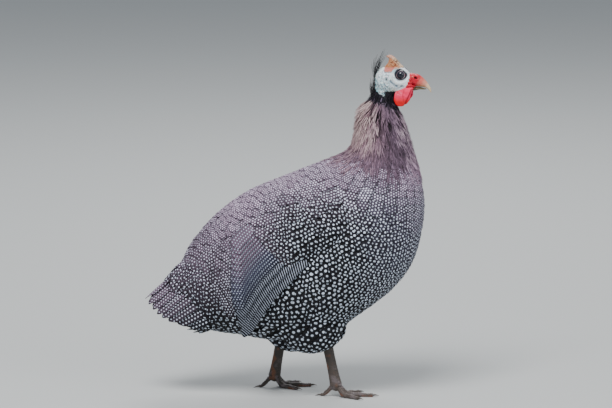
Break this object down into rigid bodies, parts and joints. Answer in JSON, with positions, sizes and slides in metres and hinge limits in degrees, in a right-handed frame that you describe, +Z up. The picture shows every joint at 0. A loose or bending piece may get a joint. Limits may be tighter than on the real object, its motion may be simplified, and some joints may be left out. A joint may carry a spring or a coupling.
{
  "type": "helmeted guinea fowl model",
  "caption": "Life-size still model of a helmeted guinea fowl in mid step, with casque, wattles, folded feathered wings and a drooping tail",
  "frame": {"origin": "on the floor, under the middle of the bird's length and width", "axes": "+X is the way the bird faces, +Y is its left side, +Z is up"},
  "size_m": [0.3898, 0.1936, 0.4661],
  "materials": {
    "plumage": "soft feather, near black with small white spots",
    "neck_plumage": "soft wispy feather, mauve grey",
    "bare_skin": "fine wrinkled bare skin, pale bluish white",
    "casque_horn": "rough ochre horn",
    "red_skin": "soft pebbled red skin",
    "bill_horn": "satin horn, red at the base and paler at the tip",
    "eye_gloss": "wet gloss",
    "leg_scale": "dull scaled skin, grey brown",
    "claw_horn": "satin dark horn"
  },
  "bodies": {
    "root": {"torso": "plumage", "neck": "neck_plumage", "throat": "bare_skin", "head": "bare_skin", "casque": "casque_horn", "bill_upper": "bill_horn", "bill_lower": "bill_horn", "eye_right": "eye_gloss", "eye_left": "eye_gloss", "wattle_right": "red_skin", "wattle_left": "red_skin", "tail": "plumage", "wing_right": "plumage", "wing_left": "plumage", "thigh_right": "plumage", "thigh_left": "plumage", "shank_right": "leg_scale", "shank_left": "leg_scale", "foot_right": "leg_scale", "foot_left": "leg_scale", "claw_middle_right": "claw_horn", "claw_inner_right": "claw_horn", "claw_outer_right": "claw_horn", "claw_hind_right": "claw_horn", "claw_middle_left": "claw_horn", "claw_inner_left": "claw_horn", "claw_outer_left": "claw_horn", "claw_hind_left": "claw_horn"}
  },
  "joints": []
}
